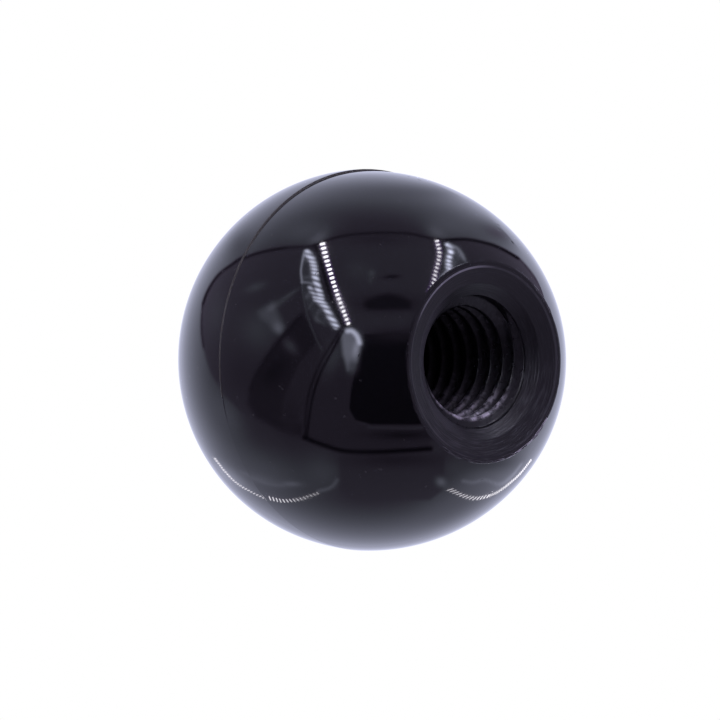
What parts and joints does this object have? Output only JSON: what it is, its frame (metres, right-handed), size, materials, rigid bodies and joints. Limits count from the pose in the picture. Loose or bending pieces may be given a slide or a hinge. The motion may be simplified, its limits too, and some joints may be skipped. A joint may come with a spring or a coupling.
{
  "type": "ball knob",
  "caption": "Glossy black moulded ball knob with a dished seat face, a countersunk mouth and a blind threaded hole for a lever or rod end.",
  "frame": {"origin": "centre of the seat face, on the thread's axis, level with the flat rim that meets the lever's shoulder", "axes": "+Z along the thread's axis, from the seat face to the back of the ball; the hole opens towards -Z"},
  "size_m": [0.0352, 0.0352, 0.034],
  "materials": {
    "moulding": "polished black thermoset, satin where the seat was turned"
  },
  "bodies": {
    "root": {"ball_knob": "moulding"}
  },
  "joints": []
}
